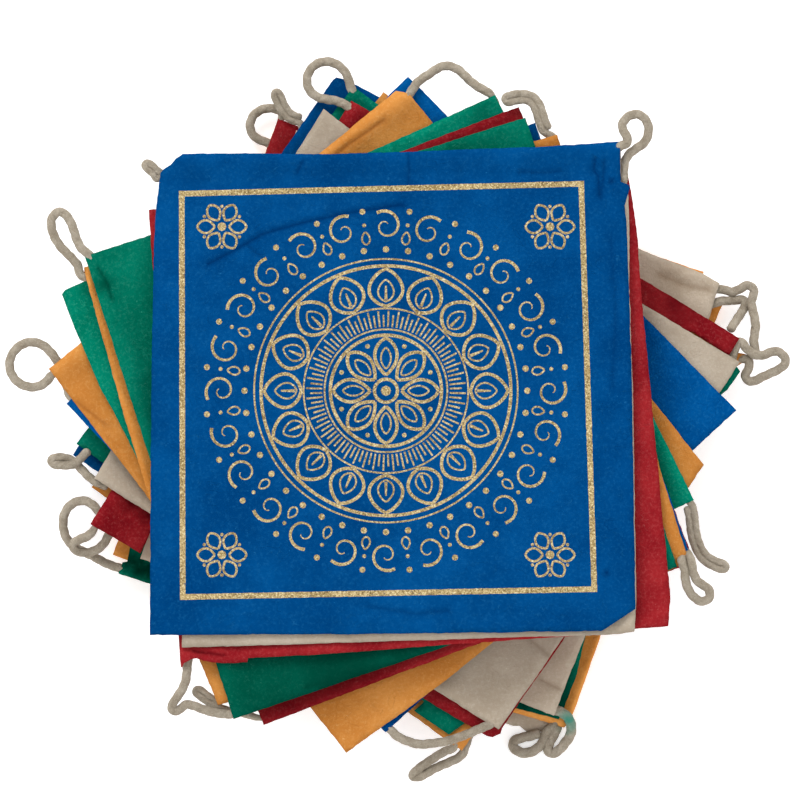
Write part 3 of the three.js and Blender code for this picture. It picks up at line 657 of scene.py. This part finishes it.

# Creases, one row each: how deep (a ridge where it is less than nothing), how wide, and its line.
# The troughs are also painted darker, as painted shade.
CREASES = {
    "flag_01_blue": [
        (0.45, 0.7, [
            (-54.7, 43.7), (-46.8, 47.8), (-38.3, 52.7), (-27.0, 55.9), (-13.0, 58.9), (2.5, 61.2),
        ]),
        (0.25, 0.6, [(-42.7, 49.2), (-38.3, 45.7)]),
        (0.3, 0.6, [(4.0, 75.5), (4.3, 71.4), (4.0, 66.7)]),
        (0.35, 0.6, [(-26.7, 74.0), (-28.4, 70.5)]),
        (0.4, 0.6, [(58.4, 74.6), (58.1, 71.1), (59.4, 69.7), (59.7, 63.8)]),
        (0.3, 0.6, [(36.6, 70.8), (43.9, 70.5), (48.9, 71.1)]),
        (0.3, 0.7, [(61.1, 74.3), (60.8, 68.5), (60.0, 62.7)]),
        (-0.25, 0.9, [(-30.0, -57.0), (-12.0, -60.5), (4.0, -59.0)]),
        (0.25, 0.8, [(-8.0, -55.8), (6.0, -58.0), (16.0, -57.0)]),
        (0.2, 0.9, [(63.0, 52.0), (64.5, 30.0), (63.5, 8.0)]),
    ],
    "flag_03_red": [
        (0.5, 0.6, [(-58.5, -68.9), (-52.3, -69.8), (-49.4, -70.1)]),
        (-0.4, 0.7, [(-60.5, -69.5), (-56.0, -68.2), (-50.0, -68.0)]),
    ],
    "flag_04_green": [
        (0.4, 0.7, [(-86.5, 43.0), (-83.5, 38.0), (-82.5, 34.0)]),
        (-0.35, 1.0, [(-30.0, -77.0), (-16.0, -74.0), (0.0, -71.5)]),
        (0.3, 1.0, [(-26.0, -79.5), (-12.0, -76.0), (6.0, -71.0)]),
    ],
    "flag_10_orange": [
        (0.4, 0.7, [(-3.0, 86.0), (-14.0, 78.5), (-24.0, 70.0)]),
        (0.3, 0.7, [(-93.0, 4.0), (-84.0, -3.0)]),
        (0.3, 0.7, [(-88.0, 17.0), (-80.0, 5.0), (-76.0, -6.0)]),
    ],
    "flag_12_white": [
        (0.3, 0.8, [(40.0, -66.0), (47.0, -72.0)]),
    ],
    "flag_17_white": [
        (0.35, 0.8, [(42.5, -77.4), (48.3, -80.3)]),
        (0.4, 1.2, [(77.0, 41.0), (86.0, 37.5), (92.0, 36.5)]),
    ],
}

# Edges that are turned under and rolled into a thin bead: how high, how wide, and the line
ROLLED = {
    "flag_05_orange": [
        (0.9, 1.0, [(-89.5, 42.0), (-86.6, 30.0), (-81.6, 11.9), (-77.0, -0.9), (-70.0, -24.0)]),
    ],
    "flag_20_orange": [
        (1.0, 1.1, [(59.6, -64.5), (53.8, -80.5), (51.2, -87.0)]),
    ],
}

# Screen colours of each dye: the sheet, its darker tone, its light fibres, and its dark veins,
# which also colour the painted shade in creases and spots
DYES = {
    "blue": ((2, 72, 131), (0, 58, 112), (30, 104, 158), (0, 36, 84)),
    "white": ((181, 168, 151), (163, 149, 131), (205, 196, 181), (122, 104, 84)),
    "red": ((148, 36, 40), (120, 18, 26), (182, 84, 84), (80, 6, 14)),
    "green": ((3, 112, 90), (0, 92, 72), (56, 150, 126), (0, 48, 36)),
    "orange": ((207, 140, 70), (188, 120, 53), (226, 176, 112), (132, 74, 30)),
}

# Blurred darker spots, one row each: the middle of the spot, its radius and how strong it is.
# Most are painted shade, where a sheet lies in the shade of the sheets above it; the small spot
# near the green's upper left corner is a stain, and the large one on flag_04_green makes its lower
# part darker.
SHADE_AND_STAIN_SPOTS = {
    "flag_01_blue": [((63.2, 68.2), 1.6, 0.8), ((61.7, -46.1), 1.6, 0.7)],
    "flag_04_green": [((-10, -85), 84, 0.8), ((-85, 38), 4, 0.6)],
    "flag_06_blue": [((-20, -84), 60, 0.8), ((40, -65), 50, 0.8)],
    "flag_08_red": [((-20, -84), 30, 0.5)],
    "flag_09_green": [((26, 89), 12, 0.45)],
    "flag_11_blue": [((3, -88), 14, 0.9), ((12, -80), 12, 0.9)],
    "flag_13_red": [((84, 34), 11, 0.9), ((-77, -25.5), 4.5, 0.8), ((-71.5, -29.5), 4.5, 0.9)],
    "flag_17_white": [((80, 40), 9, 0.5)],
    "flag_19_green": [
        ((50, -84), 14, 0.9), ((38, -86), 9, 1.0), ((-75.4, -45.2), 5, 0.95),
        ((-78, -41), 5, 0.9), ((-72, -46.5), 5, 0.95),
    ],
}

# How much lighter a sheet is painted than others of its colour: painted light, which makes up for
# the shade that the deep pile casts on it
PAINTED_LIGHT_LIFT = {
    "flag_03_red": 1.15,
    "flag_09_green": 1.5,
    "flag_11_blue": 1.35,
    "flag_17_white": 1.25,
    "flag_20_orange": 1.3,
    "flag_21_white": 1.3,
}


def handmade_paper(node, dye, number):
    """Felted paper in its own dye, with its own clouds, veins, fibres and specks, painted light on
    some sheets, painted shade in its creases, and darker spots of painted shade and stain.
    """
    # Painted light: some sheets are painted lighter than their dye
    light_lift = PAINTED_LIGHT_LIFT.get(node, 1)
    base, shade, light, dark = (
        (*(min(1, part * light_lift) for part in rgb(*colour)[:3]), 1) for colour in DYES[dye]
    )
    make = Finish(f"paper_of_{node}", roughness=0.95)
    where = make.place(shift=(number * 37.0, number * 11.0, 0), stretch=(1, 1, 0.2))
    cloud = make.noise(where, 16, 5, 0.6)
    felt = make.noise(where, 0.9, 6, 0.75)
    tint = make.mix(make.steps(cloud, 0.35, 0.65), shade, base)
    tint = make.mix(make.steps(felt, 0.5, 0.8, 0, 0.5), tint, light)
    tint = make.mix(make.steps(felt, 0.5, 0.22, 0, 0.45), tint, shade)
    veins = make.math("MULTIPLY", make.lines(where, 9, 0.01, 2.0),
                      make.steps(make.noise(where, 7, 2), 0.5, 0.62))
    tint = make.mix(make.math("MULTIPLY", veins, 0.22), tint, dark)
    fibres = make.math("MULTIPLY", make.lines(where, 3.3, 0.012, 1.4),
                       make.steps(make.noise(where, 2.6, 2), 0.55, 0.66))
    tint = make.mix(make.math("MULTIPLY", fibres, 0.5), tint, light)
    specks = make.steps(make.noise(where, 0.8, 1), 0.76, 0.8)
    tint = make.mix(make.math("MULTIPLY", specks, 0.5), tint, light)
    # Painted shade in the crease troughs: the crease attribute darkens the sheet towards its dark
    # colour
    wear_and_crease_shade = make.add("ShaderNodeAttribute", {}, attribute_name="crease").outputs["Fac"]
    tint = make.mix(make.math("MULTIPLY", wear_and_crease_shade, 0.75), tint, dark)
    # Blurred darker spots: painted shade under the edges of the sheets above, and a stain
    for centre, radius, strength in SHADE_AND_STAIN_SPOTS.get(node, []):
        share = make.math("MULTIPLY", make.spot(centre, radius), strength)
        tint = make.mix(share, tint, dark)
    relief = make.math("ADD", make.math("MULTIPLY", felt, 0.75), make.math("MULTIPLY", fibres, 0.2))
    relief = make.math("SUBTRACT", relief, make.math("MULTIPLY", veins, 0.15))
    return make.done(tint, relief, 0.4)


GOLD_DULL = (158, 134, 84)
GOLD_PALE = (186, 162, 110)
GOLD_GLINT = (236, 222, 178)
GOLD_DARK = (84, 66, 36)
BLUE_SHOWING = (10, 62, 112)


def gold_ink():
    """Grainy bronze powder ink, thin enough for the blue to show through where it is worn."""
    make = Finish("gold_ink", roughness=0.6, specular=0.3, metallic=0.25)
    where = make.place()
    grain = make.noise(where, 0.55, 3, 0.85)
    patch = make.noise(where, 5, 3)
    tint = make.mix(make.steps(patch, 0.35, 0.65), rgb(*GOLD_DULL), rgb(*GOLD_PALE))
    tint = make.mix(make.steps(grain, 0.52, 0.64, 0, 0.95), tint, rgb(*GOLD_GLINT))
    tint = make.mix(make.steps(grain, 0.48, 0.36, 0, 0.9), tint, rgb(*GOLD_DARK))
    wear_and_crease_shade = make.steps(make.noise(where, 0.7, 3, 0.7), 0.64, 0.7)
    tint = make.mix(wear_and_crease_shade, tint, rgb(*BLUE_SHOWING))
    return make.done(tint, grain, 0.3)


def away_from(point, line):
    """Distance from a point to a line of several stretches."""
    best = math.inf
    for a, b in zip(line, line[1:]):
        a, b = Vector(a), Vector(b)
        t = min(max((point - a).dot(b - a) / (b - a).length_squared, 0), 1)
        best = min(best, (point - a.lerp(b, t)).length)
    return best


def beside(line, off, step):
    """Points in steps along a line of several stretches, `off` to one side of it."""
    points = []
    for a, b in zip(line, line[1:]):
        a, b = Vector(a), Vector(b)
        along = (b - a).normalized()
        sideways = Vector((along.y, -along.x)) * off
        count = max(1, round((b - a).length / step))
        points += [a.lerp(b, (i + 0.5) / count) + sideways for i in range(count)]
    return points


def ragged_edge(outline, step, rough, seed):
    """The outline in short steps, moved in and out a little like a torn paper edge."""
    points = []
    for k, corner in enumerate(outline):
        a, b = Vector(corner), Vector(outline[(k + 1) % len(outline)])
        count = max(1, round((b - a).length / step))
        out = Vector((a.y - b.y, b.x - a.x)).normalized()
        for i in range(count):
            p = a.lerp(b, i / count)
            sway = noise.noise(Vector((p.x / 9, p.y / 9, seed)))
            fray = noise.noise(Vector((p.x / 1.1, p.y / 1.1, seed + 50)))
            points.append(p + out * rough * (0.6 * sway + 0.6 * fray))
    return points


def inside_of(points, outline):
    """Which of the points lie inside the outline."""
    inside = np.zeros(len(points), bool)
    x, y = points[:, 0], points[:, 1]
    for a, b in zip(outline, [*outline[1:], outline[0]]):
        if a[1] != b[1]:
            crosses = x < a[0] + (b[0] - a[0]) * (y - a[1]) / (b[1] - a[1])
            inside ^= ((a[1] > y) != (b[1] > y)) & crosses
    return inside


def hem_swell(depth, along):
    """How much the cord lifts the folded edge: steep on the outside, soft on the inside."""
    uneven = 0.92 + 0.16 * noise.noise(Vector((along / 9, 0, 0)))
    off = depth - HEM_WIDE / 2
    if off < 0:
        return HEM_HIGH * uneven * math.sqrt(max(0, 1 - (off / HEM_OUTSIDE) ** 2))
    return HEM_HIGH * uneven * (0.5 + 0.5 * math.cos(math.pi * min(1, off / HEM_SLOPE)))


def flag_sheet(node, outline, step, materials, print_areas=()):
    """One closed sheet over the outline, with hem, rolled edges, creases and any printed areas."""
    seed = list(HEMS).index(node) * 5.1
    edge = ragged_edge(outline, min(step, EDGE_STEP), EDGE_ROUGH, seed)
    low, high = np.min(edge, axis=0), np.max(edge, axis=0)
    grid = [
        (x + (step / 2 if row % 2 else 0), y)
        for row, y in enumerate(np.arange(low[1], high[1], step * 0.87))
        for x in np.arange(low[0], high[0], step)
    ]
    first, last = (Vector(mouth) for mouth in HEMS[node])
    along = (last - first).normalized()
    inward = Vector((along.y, -along.x))
    rows = [p for off in HEM_ROWS for p in beside([first, last], off, HEM_STEP)]
    creases = CREASES.get(node, [])
    rolled = ROLLED.get(node, [])
    for _, wide, line in [*creases, *rolled]:
        rows += [p for off in (-wide, 0, wide) for p in beside(line, off, CREASE_STEP)]
    seeds = np.array([*grid, *map(tuple, rows)])
    middle = np.mean(edge, axis=0)
    shrunk = [tuple(middle + (np.array(p) - middle) * EDGE_CLEAR) for p in edge]
    seeds = seeds[inside_of(seeds, shrunk)]
    plan = [*edge, *map(Vector, seeds.tolist())]
    areas = [list(range(len(edge)))[::-1]]
    for area in print_areas:
        areas.append(list(range(len(plan), len(plan) + len(area))))
        plan += [Vector(p) for p in area]
    plan, _, triangles, _, _, origins = delaunay_2d_cdt(plan, [], areas, 1, 0.002)
    bottoms, tops, wear_and_crease_shade = [], [], []
    for p in plan:
        lie = lie_of(node, p.x, p.y)
        crease_shade = 0.0
        swell = hem_swell((p - first).dot(inward) + HEM_WIDE / 2, (p - first).dot(along))
        thick = SHEET_THICK + swell
        # A crease trough sinks the sheet and is painted darker as painted shade; a ridge is not
        # darkened
        for depth, wide, line in creases:
            near = math.exp(-((away_from(p, line) / wide) ** 2))
            lie -= depth * near
            crease_shade = max(crease_shade, near * depth * 2)
        for depth, wide, line in rolled:
            thick += depth * math.exp(-((away_from(p, line) / wide) ** 2))
        bottoms.append((p.x, p.y, lie))
        tops.append((p.x, p.y, lie + thick))
        wear_and_crease_shade.append(min(1.0, crease_shade))
    count = len(plan)
    faces, inks, border = [], [], {}
    for (a, b, c), origin in zip(triangles, origins):
        if (plan[b] - plan[a]).cross(plan[c] - plan[a]) < 0:
            b, c = c, b
        faces += [(a + count, b + count, c + count), (a, c, b)]
        inks += [int(max(origin) > 0), 0]
        for pair in ((a, b), (b, c), (c, a)):
            if pair[::-1] in border:
                del border[pair[::-1]]
            else:
                border[pair] = True
    faces += [(a, b, b + count, a + count) for a, b in border]
    inks += [0] * len(border)
    piece = mesh_piece(f"{node}_paper", [*bottoms, *tops], faces, materials, inks)
    piece.data.attributes.new("crease", "FLOAT", "POINT").data.foreach_set("value", wear_and_crease_shade * 2)
    return piece


# Gold print on the top flag: a plain ruled border round a lotus wheel of petals, rays, beads and
# scrolls, pressed in grainy bronze ink. Every line is a row of small areas in the sheet itself.
RULE = 1.65
LINE = 0.95
HAIR = 0.5
BORDER = [(-62.0, 64.4), (54.4, 67.3), (58.2, -50.8), (-61.7, -53.1)]
PRINT_MIDDLE = (-2.5, 7.0)
PETALS = 8
CORNER_FLOWER = 47.8
areas = []


def stroke(points, wide, taper=False):
    """Areas along a line of points, as wide as given, or thinning to its end."""
    points = [Vector(p) for p in points]
    sides = []
    for i, p in enumerate(points):
        way = (points[min(i + 1, len(points) - 1)] - points[max(i - 1, 0)]).normalized()
        share = 1 - 0.75 * i / len(points) if taper else 1
        rough = 1 + 0.14 * noise.noise(Vector((p.x * 2.3, p.y * 2.3, 3)))
        off = Vector((-way.y, way.x)) * wide / 2 * share * rough
        sides.append((p + off, p - off))
    for (a, b), (c, d) in zip(sides, sides[1:]):
        areas.append([a, b, d, c])


def at(radius, turn, middle=PRINT_MIDDLE):
    """A place in a wheel, by its radius and its turn in degrees from the top."""
    a = math.radians(90 - turn)
    return (middle[0] + radius * math.cos(a), middle[1] + radius * math.sin(a))


def ring(radius, wide):
    """A round line about the middle of the wheel."""
    count = max(16, round(radius * 5))
    stroke([at(radius, 360 * k / count) for k in range(count)] + [at(radius, 0)], wide)


def dot(middle, radius):
    """A bead, as one eight-sided area."""
    areas.append([
        Vector(middle) + Vector((math.cos(k * math.pi / 4), math.sin(k * math.pi / 4))) * radius
        for k in range(8)
    ])


def petal(low, high, turn, half, wide, middle=PRINT_MIDDLE):
    """A pointed petal between two radii, `half` degrees to each side of its middle."""
    steps = np.linspace(0, 1, 14)
    for side in (-1, 1):
        line = [
            at(low + (high - low) * s, turn + side * half * math.sin(math.pi * s**0.8) ** 0.75, middle)
            for s in steps
        ]
        stroke(line, wide)


def scroll(middle, turn, hand, size):
    """A small curl that winds in from its stem."""
    line = []
    for s in np.linspace(0, 1, 26):
        a = math.radians(turn) + hand * (-0.6 + 7.6 * s)
        r = size * (1 - 0.82 * s)
        line.append((middle[0] + r * math.cos(a), middle[1] + r * math.sin(a)))
    stroke(line, LINE, taper=True)


for a, b in zip(BORDER, [*BORDER[1:], BORDER[0]]):
    a, b = Vector(a), Vector(b)
    reach = (b - a).normalized() * RULE / 2
    count = round((b - a).length / 0.9)
    stroke([(a - reach).lerp(b + reach, i / count) for i in range(count + 1)], RULE)

dot(PRINT_MIDDLE, 1.5)
for radius, wide in (
    (3.4, LINE), (16.2, LINE), (17.9, HAIR), (24.0, HAIR), (36.4, LINE), (38.4, HAIR),
):
    ring(radius, wide)
for k in range(PETALS):
    turn = 360 * k / PETALS
    petal(4.6, 15.4, turn, 19, LINE)
    petal(6.4, 12.6, turn, 9, HAIR)
    dot(at(14.0, turn + 180 / PETALS), 0.7)
for k in range(12 * PETALS):
    stroke([at(r, 360 * (k + 0.5) / (12 * PETALS)) for r in (18.6, 20.6, 23.3 - 1.2 * (k % 2))], HAIR)
for k in range(2 * PETALS):
    turn = 180 * k / PETALS
    petal(24.6, 35.6, turn, 9.6, LINE)
    petal(26.0, 32.4, turn, 4.6, HAIR)
    stroke([at(r, turn) for r in (26.6, 28.6, 30.6)], LINE, taper=True)
for k in range(5 * PETALS):
    dot(at(41.2, 72 * k / PETALS), 0.95)
for k in range(3 * PETALS):
    turn = 120 * k / PETALS
    hand = 1 if k % 2 else -1
    scroll(at(48.0, turn), 90 - turn, hand, 4.7)
    petal(42.9, 46.6, turn + 60 / PETALS, 1.5, HAIR)
    dot(at(48.6, turn + 60 / PETALS), 0.6)
    dot(at(52.6, turn + 60 / PETALS), 0.9)
for across, up in ((-1, 1), (1, 1), (1, -1), (-1, -1)):
    middle = (PRINT_MIDDLE[0] + across * CORNER_FLOWER, PRINT_MIDDLE[1] + up * CORNER_FLOWER)
    dot(middle, 1.3)
    for k in range(6):
        petal(2.1, 7.2, 60 * k + 30, 24, HAIR * 1.3, middle)
        dot(at(5.9, 60 * k, middle), 0.5)

for node, dye, outline in reversed(FLAGS):
    number = list(HEMS).index(node)
    top = number == 0
    finishes = [handmade_paper(node, dye, number), *([gold_ink()] if top else [])]
    step = PRINTED_STEP if top else SHEET_STEP
    visual = flag_sheet(node, outline, step, finishes, areas if top else ())
    start, end = (Vector(mouth) for mouth in HEMS[node])
    pairs = zip(outline, [*outline[1:], outline[0]])
    area = abs(sum(a[0] * b[1] - b[0] * a[1] for a, b in pairs)) / 2
    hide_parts(node)

# Floor and light: a plain white table under a soft white sky, with one large soft lamp from
# above and behind, which shades the lower side of the cord and of the edges.
FLOOR_HALF = 3.0
FLOOR_GLOW = 0.4
SKY = 1.08
LAMP_PLACE = (-0.5, 1.1, 1.3)
LAMP_WIDE = 0.7
LAMP_POWER = 13

corners = [(-FLOOR_HALF, -FLOOR_HALF, 0), (FLOOR_HALF, -FLOOR_HALF, 0),
           (FLOOR_HALF, FLOOR_HALF, 0), (-FLOOR_HALF, FLOOR_HALF, 0)]
table = bpy.data.meshes.new("floor")
table.from_pydata(corners, [], [(0, 1, 2, 3)])
floor = bpy.data.objects.new("floor", table)
bpy.context.scene.collection.objects.link(floor)
white = Finish("floor_white", roughness=1.0)
white.shader.inputs["Base Color"].default_value = (0.96, 0.96, 0.96, 1)
white.shader.inputs["Emission Color"].default_value = (1, 1, 1, 1)
white.shader.inputs["Emission Strength"].default_value = FLOOR_GLOW
table.materials.append(white.material)

sky = bpy.data.worlds.new("studio")
bpy.context.scene.world = sky
sky.use_nodes = True
sky.node_tree.nodes["Background"].inputs["Color"].default_value = (1, 1, 1, 1)
sky.node_tree.nodes["Background"].inputs["Strength"].default_value = SKY

lamp = bpy.data.lights.new("lamp", "AREA")
lamp.size = LAMP_WIDE
lamp.energy = LAMP_POWER
lamp_object = bpy.data.objects.new("lamp", lamp)
lamp_object.location = LAMP_PLACE
lamp_object.rotation_euler = (-Vector(LAMP_PLACE)).to_track_quat("-Z", "Y").to_euler()
bpy.context.scene.collection.objects.link(lamp_object)
